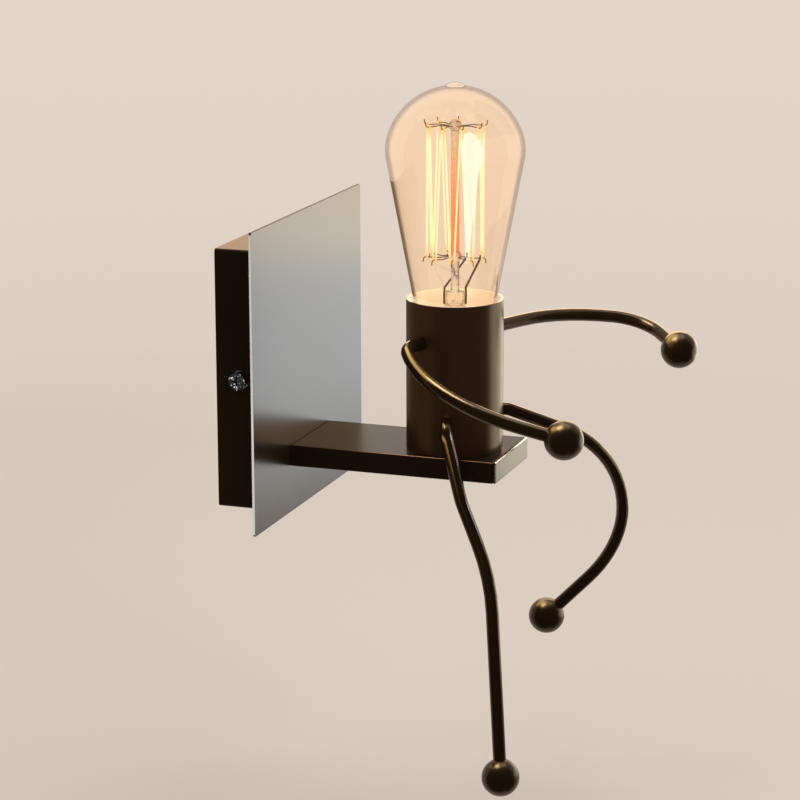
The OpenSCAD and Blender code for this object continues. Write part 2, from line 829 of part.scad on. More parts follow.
module nipple() {
    bottom = bar_inside_top - nut10_h;
    color(zinc) translate([0, axis_y, bottom]) difference() {
        cylinder(h = holder_z + dome_wall - bottom, d = nipple_d);
        translate([0, 0, -cut]) cylinder(h = dome_h + bar_h + sleeve_h, d = nipple_bore);
    }
}

module nipple_nuts() {
    color(zinc) for (z = [bar_inside_top - nut10_h, floor_top])
        translate([0, axis_y, z]) hex_nut(nut10_af, nut10_h, nipple_d + screw_clear);
}

module holder_dome() {
    color(ivory) translate([0, axis_y, holder_z]) difference() {
        cylinder(h = dome_h, d = holder_d);
        translate([0, 0, dome_wall]) cylinder(h = dome_h, d = holder_d - 2 * dome_wall);
        translate([0, 0, -cut]) cylinder(h = dome_wall + 2 * cut, d = nipple_d + screw_clear);
    }
}

module holder_body() {
    color(ivory) difference() {
        translate([0, axis_y, body_z]) cylinder(h = holder_h, d = holder_d);
        translate([0, axis_y, web_top]) cylinder(h = holder_h, r = well_r);
        for (x = [0, side_post_x]) translate([x, axis_y, body_z - cut])
            cylinder(h = web_t + 2 * cut, d = contact_post_d + screw_clear);
    }
}

// A brass tube with round thread ridges, from z = 0 up, with the ridges standing outwards
module ridged_tube(inside, wall, ridge, h) {
    rotate_extrude() difference() {
        union() {
            translate([inside, 0]) square([wall, h]);
            for (z = [thread_pitch:thread_pitch:h - thread_pitch / 2])
                translate([inside + wall + ridge - ridge_r, z]) circle(ridge_r);
        }
        square([inside, h]);
    }
}

module screw_shell() {
    color(brass_tone) translate([0, axis_y, web_top]) {
        ridged_tube(shell_in, shell_t, thread_bump, shell_h);
        difference() {
            cylinder(h = shell_t, r = shell_in + shell_t / 2);
            translate([0, 0, -cut]) cylinder(h = shell_t + 2 * cut, r = shell_floor_r);
        }
    }
}

module centre_contact() {
    color(brass_tone) translate([0, axis_y, 0]) {
        translate([0, 0, body_z - tab_t / 2])
            cylinder(h = web_t + contact_h + tab_t / 2 - contact_leaf_t / 2, d = contact_post_d);
        translate([0, 0, web_top + contact_h - contact_leaf_t])
            cylinder(h = contact_leaf_t, d = contact_leaf_d);
        translate([-wire_x - wire_d / 2, -tab_w / 2, body_z - tab_t])
            cube([wire_x + wire_d / 2 + contact_post_d / 2, tab_w, tab_t]);
    }
}

module side_contact() {
    tab_from = contact_post_d / 2 + wire_gap;
    color(brass_tone) translate([0, axis_y, 0]) {
        translate([side_post_x, 0, body_z - tab_t / 2]) cylinder(h = web_t + tab_t / 2, d = contact_post_d);
        translate([tab_from, -tab_w / 2, body_z - tab_t])
            cube([side_post_x + contact_post_d - tab_from, tab_w, tab_t]);
    }
}

// Bulb

module bulb_eyelet() {
    color(tin) translate([0, axis_y, bulb_z]) rotate_extrude() intersection() {
        translate([0, eyelet_d]) circle(eyelet_d);
        square([eyelet_d / 2, eyelet_h]);
    }
}

module bulb_insulator() {
    color(black_glass) translate([0, axis_y, bulb_z + eyelet_h])
        cylinder(h = insulator_h, d1 = eyelet_d + 2 * insulator_lip, d2 = cap_d - 2 * insulator_in);
}

module bulb_cap() {
    color(brass_tone) translate([0, axis_y, cap_z])
        ridged_tube(cap_in, cap_wall, thread_bump, cap_h);
}

// Half of the glass's outline, drawn inwards by an inset; its crown, shoulder and taper overlap
module glass_outline(inset) {
    slant = inset / cos(taper);
    barrel_h = wide_z + crown_meet - taper_z + 2 * cut;
    intersection() {
        translate([0, wide_z - crown_drop]) circle(crown_r - inset);
        translate([0, wide_z + crown_meet]) square([bulb_d, bulb_dome_h]);
    }
    intersection() {
        translate([shoulder_x, wide_z]) circle(bulb_shoulder_r - inset);
        translate([shoulder_x, taper_z - cut]) square([bulb_d, barrel_h]);
    }
    translate([0, taper_z - cut]) square([shoulder_x, barrel_h]);
    polygon([[0, neck_z], [neck_x - slant, neck_z], [taper_x - slant, taper_z], [0, taper_z]]);
}

module bulb_glass() {
    color(amber_glass) translate([0, axis_y, 0]) rotate_extrude() difference() {
        union() {
            glass_outline(0);
            intersection() {
                translate([0, bulb_top - tip_r]) circle(tip_r);
                translate([0, wide_z]) square([tip_r, bulb_len]);
            }
            intersection() {
                translate([neck_r, neck_z]) circle(neck_round);
                translate([neck_r, neck_z - neck_round]) square(neck_round);
            }
            translate([0, cap_top - neck_in]) square([tube_r, neck_in + neck_gap]);
            translate([0, cap_top + neck_gap]) square([neck_r, neck_round + cut]);
        }
        glass_outline(glass_t);
        intersection() {
            translate([neck_r, neck_z]) circle(neck_round - glass_t);
            translate([neck_r, neck_z - neck_round]) square(neck_round);
        }
        translate([0, neck_z - neck_round + glass_t]) square([neck_r, neck_round - glass_t + cut]);
        translate([0, cap_top - neck_in - cut]) square([tube_r - glass_t, neck_in + neck_round + cut]);
    }
}

module bulb_stem() {
    flare_z = cap_top - neck_in;
    flare_r = tube_r - glass_t - seat_gap;
    press_all = press_h + stem_t / 2;
    color(clear_glass) translate([0, axis_y, 0]) {
        rotate_extrude() {
            polygon([
                [flare_r - stem_t, flare_z], [flare_r, flare_z], [stem_r, flare_z + stem_flare_h],
                [stem_r, stem_top - press_h], [0, stem_top - press_h],
                [0, stem_top - press_h - stem_t], [stem_r - stem_t, stem_top - press_h - stem_t],
                [stem_r - stem_t, flare_z + stem_flare_h]
            ]);
        }
        translate([0, 0, stem_top - press_all]) rotate([0, 0, press_turn])
            intersection() {
                cylinder(h = press_all, r = press_r);
                translate([-stem_r, -press_t / 2, -cut]) cube([2 * stem_r, press_t, press_all + 2 * cut]);
            }
        translate([0, 0, stem_top - rod_glass_in])
            cylinder(h = cage_top - stem_top + rod_glass_in, r = rod_glass_r);
        for (z = [cage_bottom, cage_top]) translate([0, 0, z]) sphere(bead_r);
    }
}

// A hook from the bead out to the cage, with its tip bent up (way 1) or down (way -1)
function hook_path(a, z, way) = [
    polar(bead_r + hook_seat, a, z),
    polar(cage_r * hook_elbow, a, z + way * hook_bow),
    polar(cage_r + hook_past / 2, a, z),
    polar(cage_r + hook_past, a, z + way * hook_kick),
    polar(cage_r + hook_past + hook_lean, a, z + way * hook_tip)
];

module upper_hooks() {
    color(zinc) for (i = [0:hook_count - 1])
        swept(hook_path(cage_phase + (i + 0.5) * cage_step, cage_top, 1), hook_d, thin_sides);
}

module lower_hooks() {
    color(zinc) for (i = [1:hook_count - 1])
        swept(hook_path(cage_phase + i * cage_step, cage_bottom, -1), hook_d, thin_sides);
}

// The filament's turn round a hook: over the top of an upper hook, under a lower one
function turn_path(a, z, way) = [for (s = [-90:45:90])
    polar(cage_r, a + turn_r * sin(s) * 180 / PI / cage_r, z + way * turn_r * cos(s))];

module filament() {
    turns = [for (j = [1:2 * hook_count - 1]) let (upper = j % 2 == 1)
        each turn_path(cage_phase + j * cage_step / 2, upper ? cage_top : cage_bottom, upper ? 1 : -1)];
    ends = [for (j = [0, 2 * hook_count]) polar(cage_r, cage_phase + j * cage_step / 2, cage_bottom)];
    color(glowing) swept(concat([ends[0]], turns, [ends[1]]), filament_d, thin_sides);
}

module filament_leads() {
    start = press_r + lead_d / 2 + seat_gap;
    color(zinc) for (i = [0, 1]) {
        a = cage_phase + i * hook_count * cage_step;
        from = press_turn + (1 - i) * 180;
        swept([
            polar(start, from, stem_top - press_h + seat_gap),
            polar(start, from, stem_top - lead_top),
            polar(start, from + lead_fan[i], stem_top + lead_rise),
            polar(cage_r - lead_lean, a, cage_bottom - lead_below),
            polar(cage_r, a, cage_bottom - lead_end)
        ], lead_d, thin_sides);
    }
}

// Arms and legs

module left_arm_rod() {
    limb_rod(left_arm_at, arm_z, left_arm_swivel, left_arm_runs);
}

module left_arm_ball() {
    limb_ball(left_arm_at, arm_z, left_arm_swivel, left_arm_runs);
}

module left_arm_nut() {
    limb_nut(left_arm_at, arm_z, left_arm_swivel);
}

module right_arm_rod() {
    limb_rod(right_arm_at, arm_z, -right_arm_swivel, right_arm_runs);
}

module right_arm_ball() {
    limb_ball(right_arm_at, arm_z, -right_arm_swivel, right_arm_runs);
}

module right_arm_nut() {
    limb_nut(right_arm_at, arm_z, -right_arm_swivel);
}

module left_leg_rod() {
    limb_rod(left_leg_at, leg_z, left_leg_swivel, left_leg_runs);
}

module left_leg_ball() {
    limb_ball(left_leg_at, leg_z, left_leg_swivel, left_leg_runs);
}

module left_leg_nut() {
    limb_nut(left_leg_at, leg_z, left_leg_swivel);
}

module right_leg_rod() {
    limb_rod(right_leg_at, leg_z, -right_leg_swivel, right_leg_runs);
}

module right_leg_ball() {
    limb_ball(right_leg_at, leg_z, -right_leg_swivel, right_leg_runs);
}

module right_leg_nut() {
    limb_nut(right_leg_at, leg_z, -right_leg_swivel);
}

wall_bracket();
back_box();
side_screws();
front_plate();
plate_nuts();
support_bar();
bar_end_cap();
bar_plug();
bar_screws();
access_plug();
terminal_block();
terminal_screws();
wire_bush();
live_wire();
neutral_wire();
earth_wire();
earth_lug();
earth_nut();
sleeve();
nipple();
nipple_nuts();
holder_dome();
holder_body();
screw_shell();
centre_contact();
side_contact();
bulb_eyelet();
bulb_insulator();
bulb_cap();
bulb_glass();
bulb_stem();
upper_hooks();
lower_hooks();
filament();
filament_leads();
left_arm_rod();
left_arm_ball();
left_arm_nut();
right_arm_rod();
right_arm_ball();
right_arm_nut();
left_leg_rod();
left_leg_ball();
left_leg_nut();
right_leg_rod();
right_leg_ball();
right_leg_nut();
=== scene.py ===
import math

import bmesh
import bpy
from mathutils import Matrix, Vector


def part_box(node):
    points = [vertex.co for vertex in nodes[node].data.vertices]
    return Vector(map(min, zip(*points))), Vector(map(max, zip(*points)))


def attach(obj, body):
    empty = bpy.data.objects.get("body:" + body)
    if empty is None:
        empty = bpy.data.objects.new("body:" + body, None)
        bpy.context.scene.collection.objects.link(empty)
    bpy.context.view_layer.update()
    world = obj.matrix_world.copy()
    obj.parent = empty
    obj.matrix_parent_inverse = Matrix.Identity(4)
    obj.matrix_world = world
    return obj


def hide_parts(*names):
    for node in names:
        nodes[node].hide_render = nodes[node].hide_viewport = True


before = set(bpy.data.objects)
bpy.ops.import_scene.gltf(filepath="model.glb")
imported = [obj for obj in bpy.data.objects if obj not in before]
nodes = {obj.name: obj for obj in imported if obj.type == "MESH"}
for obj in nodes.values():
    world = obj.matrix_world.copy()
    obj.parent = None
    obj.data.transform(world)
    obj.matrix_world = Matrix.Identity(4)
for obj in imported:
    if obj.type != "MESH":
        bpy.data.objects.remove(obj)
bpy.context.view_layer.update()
MM = 0.001

# Helpers for materials

PATCH_ROUGHNESS = 0.6
PATCH_RANGE = (0.3, 0.7)  # where most of the patches' values lie
GRAIN_DETAIL = 3.0


def srgb(code):
    """The linear colour of an sRGB hex value."""
    parts = [int(code[i:i + 2], 16) / 255 for i in (0, 2, 4)]
    linear = [c / 12.92 if c <= 0.04045 else ((c + 0.055) / 1.055) ** 2.4 for c in parts]
    return (*linear, 1.0)


def add(tree, kind, sockets=None, **settings):
    """Adds a node with its settings, and links or sets its sockets."""
    made = tree.nodes.new(kind)
    for name, value in settings.items():
        setattr(made, name, value)
    for name, value in (sockets or {}).items():
        if isinstance(value, bpy.types.NodeSocket):
            tree.links.new(value, made.inputs[name])
        else:
            made.inputs[name].default_value = value
    return made


def scale_for(size_mm):
    """The texture scale at which a pattern's features are that many millimetres across."""
    return 1 / (size_mm * MM)


def new_finish(name, **sockets):
    """A material with one shader whose plain values are set on its own sockets."""
    made = bpy.data.materials.new(name)
    made.use_nodes = True
    tree = made.node_tree
    tree.nodes.clear()
    values = {key.replace("_", " "): value for key, value in sockets.items()}
    shader = add(tree, "ShaderNodeBsdfPrincipled", values)
    add(tree, "ShaderNodeOutputMaterial", {"Surface": shader.outputs["BSDF"]})
    place = add(tree, "ShaderNodeTexCoord").outputs["Object"]
    return made, tree, shader.inputs, place


def weathered(name, dark, pale, patch_mm, rough, grain_mm, grain_depth_mm, detail=6.0, spread=(0, 1),
              **sockets):
    """A finish whose colour drifts between two tones in patches, whose gloss drifts with it, and
    whose surface has a fine relief: the share that paints, platings and mouldings have in common.
    A narrow spread parts the tones into clear patches."""
    made, tree, shader, place = new_finish(name, **sockets)
    patches = add(tree, "ShaderNodeTexNoise", {
        "Vector": place, "Scale": scale_for(patch_mm), "Detail": detail, "Roughness": PATCH_ROUGHNESS})
    share = add(tree, "ShaderNodeMapRange", {
        "Value": patches.outputs["Fac"], "From Min": spread[0], "From Max": spread[1]})
    tones = add(tree, "ShaderNodeMix", {
        "Factor": share.outputs["Result"], "A": srgb(dark), "B": srgb(pale)}, data_type="RGBA")
    tree.links.new(tones.outputs["Result"], shader["Base Color"])
    gloss = add(tree, "ShaderNodeMapRange", {
        "Value": patches.outputs["Fac"], "From Min": PATCH_RANGE[0], "From Max": PATCH_RANGE[1],
        "To Min": rough[0], "To Max": rough[1]})
    tree.links.new(gloss.outputs["Result"], shader["Roughness"])
    grain = add(tree, "ShaderNodeTexNoise", {
        "Vector": place, "Scale": scale_for(grain_mm), "Detail": GRAIN_DETAIL})
    relief = add(tree, "ShaderNodeBump", {
        "Height": grain.outputs["Fac"], "Strength": 1.0, "Distance": grain_depth_mm * MM})
    tree.links.new(relief.outputs["Normal"], shader["Normal"])
    return made


def height_in_cage(tree, place):
    """How high a point stands in the filament's cage, from 0 at its foot to 1 at its top."""
    low, high = (corner.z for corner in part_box("filament"))
    height = add(tree, "ShaderNodeSeparateXYZ", {"Vector": place}).outputs["Z"]
    along = add(tree, "ShaderNodeMapRange", {"Value": height, "From Min": low, "From Max": high})
    return along.outputs["Result"]


# Materials

# Stove enamel on steel, sprayed with bronze powder in it and baked: near-black brown faces, golden
# highlights, a pale sheen at a low angle and the faint ripple of sprayed paint.
ENAMEL = dict(dark="2c2012", pale="42331e", grain_mm=1.5, grain_depth_mm=0.001, detail=1.0,
              IOR=1.5, Metallic=0.7)
bronze_enamel = weathered("dark_bronze_enamel", patch_mm=110, rough=(0.25, 0.27), **ENAMEL)

# The same enamel on the rods, where it flows round and dries smoother: sharper golden highlights.
rod_enamel = weathered("dark_bronze_enamel_on_rods", patch_mm=60, rough=(0.17, 0.19), **ENAMEL)

# The patches and the grain of the finishes below, down to the glass, are finer on the real pieces. They
# are drawn as coarse as they need to be to show.

# Bronzed steel, blackened in a bath after the heads were formed: near-black metal, worn bright in small
# clear patches.
bronzed_steel = weathered(
    "bronzed_steel", dark="040302", pale="4e4335", patch_mm=0.9, rough=(0.15, 0.3),
    grain_mm=0.5, grain_depth_mm=0.02, spread=(0.57, 0.65), Metallic=1.0)

# Zinc plate on steel: pale bluish metal with cloudy crystals and a fine etched grain.
zinc_plate = weathered(
    "zinc_plated_steel", dark="9ea2a6", pale="c9ccce", patch_mm=6, rough=(0.28, 0.45),
    grain_mm=0.6, grain_depth_mm=0.008, Metallic=1.0)

# Black polyamide, moulded against a sparked tool: dark grey with an even fine grain.
black_polymer = weathered(
    "moulded_black_polyamide", dark="121212", pale="1d1d1e", patch_mm=15, rough=(0.42, 0.55),
    grain_mm=0.5, grain_depth_mm=0.02, IOR=1.5)

# Natural polyamide, moulded: warm white, a little translucent, with soft shading in its recesses.
ivory_polymer = weathered(
    "moulded_ivory_polyamide", dark="d9d2bd", pale="ebe5d6", patch_mm=12, rough=(0.35, 0.5),
    grain_mm=0.8, grain_depth_mm=0.015,
    IOR=1.5, Subsurface_Weight=0.15, Subsurface_Radius=(0.002, 0.0016, 0.001))

# Brass sheet, drawn and rolled: warm yellow metal with a dull bloom in places.
brass_sheet = weathered(
    "rolled_brass", dark="a37f3c", pale="d1ad66", patch_mm=8, rough=(0.22, 0.42),
    grain_mm=0.7, grain_depth_mm=0.006, Metallic=1.0)

# PVC insulation, extruded: smooth soft plastic with a low gloss.
PVC = dict(patch_mm=6, rough=(0.35, 0.48), grain_mm=0.6, grain_depth_mm=0.01, IOR=1.53)
brown_pvc = weathered("extruded_brown_pvc", dark="3d2213", pale="52301c", **PVC)
blue_pvc = weathered("extruded_blue_pvc", dark="1c3f8f", pale="2a55ad", **PVC)

# Steatite, pressed, glazed and fired: creamy white under a clear glaze with a few darker clouds.
glazed_steatite = weathered(
    "glazed_steatite", dark="e0d8c6", pale="f1ebdf", patch_mm=9, rough=(0.12, 0.22),
    grain_mm=1.5, grain_depth_mm=0.01, IOR=1.55, Coat_Weight=0.6, Coat_Roughness=0.06)

# Solder on the bulb's foot, melted and wiped: dull silver with slow ripples.
tin_solder = weathered(
    "wiped_tin_solder", dark="8f8e8a", pale="bdbcb6", patch_mm=3, rough=(0.25, 0.45),
    grain_mm=1.2, grain_depth_mm=0.05, Metallic=1.0)

# Oxidised nickel wire: near-black brown metal with a dry sheen.
oxidised_wire = weathered(
    "oxidised_nickel_wire", dark="15110d", pale="2e2620", patch_mm=2, rough=(0.4, 0.6),
    grain_mm=0.3, grain_depth_mm=0.004, Metallic=1.0)

# Black glass, pressed hot into the bulb's cap: deep violet-black and shiny.
black_glass = weathered(
    "pressed_black_glass", dark="0d0b10", pale="17131c", patch_mm=6, rough=(0.06, 0.15),
    grain_mm=2, grain_depth_mm=0.01, IOR=1.52)

PAINTED_GLASS_OUTLINE = (0.6, 0.85)  # how far the glass turns from the eye where its painted dark outline starts and is full
STEM_STEPS = (0.08, 0.45, 0.75, 0.92)  # heights in the cage between which the stem's painted glow and painted warm tint change
# Painted light in the stem glass: an orange glow and a warm tint for the hot strands' light on it
STEM_PAINTED_GLOW = ("000000", "ff6428", "ff7a3c", "a06040", "100a06")
STEM_PAINTED_WARM_TONES = ("ffffff", "dc9064", "e09a70", "efc8a8", "f4e4d4")
HOT_STRETCH = (0.12, 0.88)  # heights in the cage between which a strand is hottest
PAINTED_LIT_INSIDE_DEPTH_MM = 0.9  # how far in from the sleeve's outside its enamel reaches; past it the inside is painted pale as painted light


def make_amber_glass():
    """Blown bulb glass with an amber lustre sprayed on: clear and peach, a little deeper in places,
    with a faint painted glow that stands in for the filament's light in the glass, and a painted dark
    outline where the glass is seen edge on."""
    # The emission here is a painted glow: the glass itself gives no light.
    made = weathered(
        "blown_amber_glass_with_painted_glow_and_outline", dark="fdf4e6", pale="fffaf2", patch_mm=30, rough=(0.0, 0.015),
        grain_mm=25, grain_depth_mm=0.02,
        IOR=1.5, Transmission_Weight=1.0, Emission_Color=srgb("ffbe88"), Emission_Strength=0.05)
    tree = made.node_tree
    shader = tree.nodes["Principled BSDF"].inputs
    lustre = shader["Base Color"].links[0].from_socket
    edge_on = add(tree, "ShaderNodeLayerWeight", {"Blend": 0.5}).outputs["Facing"]
    # Painted shade: the base colour darkens to a dark outline where the glass is seen edge on.
    painted_outline = add(tree, "ShaderNodeMapRange", {
        "Value": edge_on, "From Min": PAINTED_GLASS_OUTLINE[0], "From Max": PAINTED_GLASS_OUTLINE[1]},
        interpolation_type="SMOOTHSTEP")
    tones = add(tree, "ShaderNodeMix", {
        "Factor": painted_outline.outputs["Result"], "A": lustre, "B": srgb("50483f")}, data_type="RGBA")
    tree.links.new(tones.outputs["Result"], shader["Base Color"])
    return made


def make_stem_glass():
    """Stem tube and rod glass, drawn and pressed with a flame: clear and wavy at the press, with a
    painted orange glow and a painted warm tint where the rod stands among the hot strands, for their light."""
    made = weathered(
        "flame_worked_stem_glass_with_painted_glow", dark="e4efe9", pale="f4f8f5", patch_mm=8, rough=(0.0, 0.03),
        grain_mm=2.5, grain_depth_mm=1.2, IOR=1.5, Transmission_Weight=1.0, Emission_Strength=0.3)
    tree = made.node_tree
    shader = tree.nodes["Principled BSDF"].inputs
    clear = shader["Base Color"].links[0].from_socket
    height = height_in_cage(tree, add(tree, "ShaderNodeTexCoord").outputs["Object"])
    # Painted light: by height in the cage the glass glows orange and is tinted warm.
    glow, tint = (add(tree, "ShaderNodeValToRGB", {"Fac": height}) for _ in range(2))
    for ramp, tones in ((glow.color_ramp, STEM_PAINTED_GLOW), (tint.color_ramp, STEM_PAINTED_WARM_TONES)):
        ramp.elements.remove(ramp.elements[1])
        ramp.elements[0].color = srgb(tones[0])
        for step, tone in zip(STEM_STEPS, tones[1:]):
            ramp.elements.new(step).color = srgb(tone)
    tree.links.new(glow.outputs["Color"], shader["Emission Color"])
    painted_warm_tint = add(tree, "ShaderNodeMix", {
        "Factor": 1.0, "A": clear, "B": tint.outputs["Color"]}, data_type="RGBA", blend_type="MULTIPLY")
    tree.links.new(painted_warm_tint.outputs["Result"], shader["Base Color"])
    return made


def make_sleeve_enamel():
    """A copy of the enamel outside, made browner and less metallic than on the other pieces as painted warm
    light on the sleeve, and inside the sleeve a pale matt colour, painted light for the bulb's light on the
    inner wall."""
    # Painted light: this copy of the enamel is browner and less metallic, for warm light on the sleeve.
    made = weathered(
        "dark_bronze_enamel_with_painted_warm_light", dark="3a2716", pale="553c24", patch_mm=60, rough=(0.28, 0.3),
        grain_mm=1.5, grain_depth_mm=0.001, detail=1.0, IOR=1.5, Metallic=0.55)
    tree = made.node_tree
    shader = tree.nodes["Principled BSDF"].inputs
    enamel = shader["Base Color"].links[0].from_socket
    low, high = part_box("sleeve")
    axis = (low + high) / 2
    painted_lit_inside_radius = (high.x - low.x) / 2 - PAINTED_LIT_INSIDE_DEPTH_MM * MM
    place = add(tree, "ShaderNodeTexCoord").outputs["Object"]
    off_axis = add(tree, "ShaderNodeVectorMath", {0: place, 1: (axis.x, axis.y, 0.0)}, operation="SUBTRACT")
    flat = add(tree, "ShaderNodeVectorMath", {
        0: off_axis.outputs["Vector"], 1: (1.0, 1.0, 0.0)}, operation="MULTIPLY")
    radius = add(tree, "ShaderNodeVectorMath", {0: flat.outputs["Vector"]}, operation="LENGTH")
    inside = add(tree, "ShaderNodeMath", {
        0: radius.outputs["Value"], 1: painted_lit_inside_radius}, operation="LESS_THAN")
    # Painted light: the inside is painted a pale matt colour for the bulb's light on the inner wall.
    tones = add(tree, "ShaderNodeMix", {
        "Factor": inside.outputs["Value"], "A": enamel, "B": srgb("e0dad2")}, data_type="RGBA")
    tree.links.new(tones.outputs["Result"], shader["Base Color"])
    painted_lit_inside_matt = add(tree, "ShaderNodeMapRange", {
        "Value": inside.outputs["Value"], "To Min": shader["Metallic"].default_value, "To Max": 0.0})
    tree.links.new(painted_lit_inside_matt.outputs["Result"], shader["Metallic"])
    return made


def make_striped_pvc():
    """Extruded PVC in two colours, one down each side of the wire, as earth wires have."""
    made, tree, shader, place = new_finish("extruded_green_yellow_pvc", IOR=PVC["IOR"])
    across = add(tree, "ShaderNodeSeparateXYZ", {"Vector": place}).outputs["X"]
    side = add(tree, "ShaderNodeMath", {0: across, 1: 0.0}, operation="GREATER_THAN")
    stripes = add(tree, "ShaderNodeMix", {
        "Factor": side.outputs["Value"], "A": srgb("3f7a2c"), "B": srgb("d6c02e")}, data_type="RGBA")
    tree.links.new(stripes.outputs["Result"], shader["Base Color"])
    patches = add(tree, "ShaderNodeTexNoise", {"Vector": place, "Scale": scale_for(PVC["patch_mm"])})
    gloss = add(tree, "ShaderNodeMapRange", {
        "Value": patches.outputs["Fac"], "To Min": 0.32, "To Max": 0.5})
    tree.links.new(gloss.outputs["Result"], shader["Roughness"])
    return made


def make_lit_tungsten():
    """Tungsten wire glowing at a low voltage: yellow-white at the middle of each strand, and more
    orange where the hooks cool it."""
    made, tree, shader, place = new_finish(
        "lit_tungsten", Base_Color=srgb("3a3028"), Roughness=0.5, Metallic=1.0, Emission_Strength=1.15)
    glow = add(tree, "ShaderNodeValToRGB", {"Fac": height_in_cage(tree, place)})
    ramp = glow.color_ramp
    for end in ramp.elements:
        end.color = srgb("ffb25a")
    for height in HOT_STRETCH:
        ramp.elements.new(height).color = srgb("fff2bc")
    tree.links.new(glow.outputs["Color"], shader["Emission Color"])
    return made


striped_pvc = make_striped_pvc()
lit_tungsten = make_lit_tungsten()
amber_glass = make_amber_glass()
stem_glass = make_stem_glass()
sleeve_enamel = make_sleeve_enamel()

# Pieces

JOIN_MM = 0.002  # corners closer than this are one
FLAT_DEG = 0.5  # faces that turn less than this are one flat face
SHARP_DEG = 35  # edges of sheet metal that turn more than this are eased
EASED_SHADE_DEG = 50
ROD_SHADE_DEG = 40
LARGE_FACES_WIN = 100

LIMBS = ("left_arm", "right_arm", "left_leg", "right_leg")

# The widest round on each sheet-metal piece's edges, which comes out narrower where edges lie close
EASED_MM = {"front_plate": 0.45, "back_box": 0.4, "support_bar": 0.8, "bar_end_cap": 0.8}


def new_piece(name, mesh, finish, body, slot, *stood_for):
    """Puts a mesh in the scene as a piece that rides on a body and stands for CAD nodes."""
    made = bpy.data.objects.new(name, mesh)
    bpy.context.scene.collection.objects.link(made)
    mesh.materials.clear()
    mesh.materials.append(finish)
    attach(made, body)
    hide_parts(*stood_for)
    return made


def joined_copy(node):
    """A node's mesh with the corners of neighbouring faces joined, in a bmesh."""
    work = bmesh.new()
    work.from_mesh(nodes[node].data)
    bmesh.ops.remove_doubles(work, verts=work.verts, dist=JOIN_MM * MM)
    bmesh.ops.recalc_face_normals(work, faces=work.faces)
    return work


def shade_by_angle(work, degrees):
    """Smooth shading everywhere except at edges that turn more than an angle."""
    for face in work.faces:
        face.smooth = True
    for edge in work.edges:
        edge.smooth = edge.is_manifold and edge.calc_face_angle(0) < math.radians(degrees)


def finished_mesh(name, work):
    """A mesh made from a bmesh, which is freed."""
    mesh = bpy.data.meshes.new(name)
    work.to_mesh(mesh)
    work.free()
    return mesh


def eased(name, node, finish, body, slot, round_mm):
    """A sheet-metal piece whose sharp edges are eased by a small round, as paint and tumbling leave
    them, so that they catch the light."""
    work = joined_copy(node)
    bmesh.ops.dissolve_limit(
        work, angle_limit=math.radians(FLAT_DEG), verts=work.verts, edges=work.edges, delimit={"NORMAL"})
    sharp = [e for e in work.edges if e.is_manifold and e.calc_face_angle(0) > math.radians(SHARP_DEG)]
    bmesh.ops.bevel(
        work, geom=sharp, offset=round_mm * MM, offset_type="OFFSET", segments=2, profile=0.5,
        affect="EDGES", clamp_overlap=True)
    shade_by_angle(work, EASED_SHADE_DEG)
    made = new_piece(name, finished_mesh(name, work), finish, body, slot, node)
    flatten = made.modifiers.new("flat_faces", "WEIGHTED_NORMAL")
    flatten.weight = LARGE_FACES_WIN
    flatten.keep_sharp = True
    return made


def smooth_rod(name, node, finish, body, slot):
    """A bent rod or wire whose round side is shaded smooth and whose ends stay sharp."""
    work = joined_copy(node)
    shade_by_angle(work, ROD_SHADE_DEG)
    return new_piece(name, finished_mesh(name, work), finish, body, slot, node)


rods = {
    limb: smooth_rod(limb + "_rod_smooth", limb + "_rod", rod_enamel, limb, "dark_bronze_paint")
    for limb in LIMBS}
sheets = {
    node: eased(node + "_eased", node, bronze_enamel, "frame", "dark_bronze_paint", round_mm)
    for node, round_mm in EASED_MM.items()}
for node, finish, slot in (
        ("live_wire", brown_pvc, "brown_pvc"), ("neutral_wire", blue_pvc, "blue_pvc"),
        ("earth_wire", striped_pvc, "green_yellow_pvc")):
    smooth_rod(node + "_smooth", node, finish, "frame", slot)
wires_in_bulb = [
    smooth_rod(node + "_smooth", node, oxidised_wire, "bulb", "hook_wire")
    for node in ("upper_hooks", "lower_hooks", "filament_leads")]
wires_in_bulb.append(smooth_rod("filament_smooth", "filament", lit_tungsten, "bulb", "filament_wire"))

# CAD nodes that keep their own shape and take a better finish
FINISHES = {
    bronze_enamel: [limb + "_ball" for limb in LIMBS],
    sleeve_enamel: ["sleeve"],
    bronzed_steel: ["side_screws"],
    zinc_plate: ["wall_bracket", "plate_nuts", "bar_plug", "bar_screws", "earth_lug", "earth_nut",
                 "nipple", "nipple_nuts"] + [limb + "_nut" for limb in LIMBS],
    black_polymer: ["access_plug", "wire_bush"],
    ivory_polymer: ["terminal_block"],
    brass_sheet: ["terminal_screws", "screw_shell", "centre_contact", "side_contact", "bulb_cap"],
    glazed_steatite: ["holder_dome", "holder_body"],
    tin_solder: ["bulb_eyelet"],
    black_glass: ["bulb_insulator"],
    stem_glass: ["bulb_stem"],
    amber_glass: ["bulb_glass"],
}
for finish, members in FINISHES.items():
    for member in members:
        data = nodes[member].data
        data.materials.clear()
        data.materials.append(finish)

# Stage: a plain pale floor that runs out into a pale backdrop, and soft studio light, in metres

FLOOR_Z = -0.225
FLOOR_R = 8
FLOOR_FADE = (0.55, 1.25)  # how far from the lamp the floor starts to fade and is gone
FLAG_SIZE = 5
ROOM_LEVEL = 0.8
BACKDROP_SHADE = (-0.4, 0.0)  # how far below the level the backdrop is darkest, and where it is palest

# Black felt, pressed: it gives the gloss nothing to mirror.
black_felt, _, _, _ = new_finish("black_felt", Base_Color=srgb("0c0a08"), Roughness=1.0)


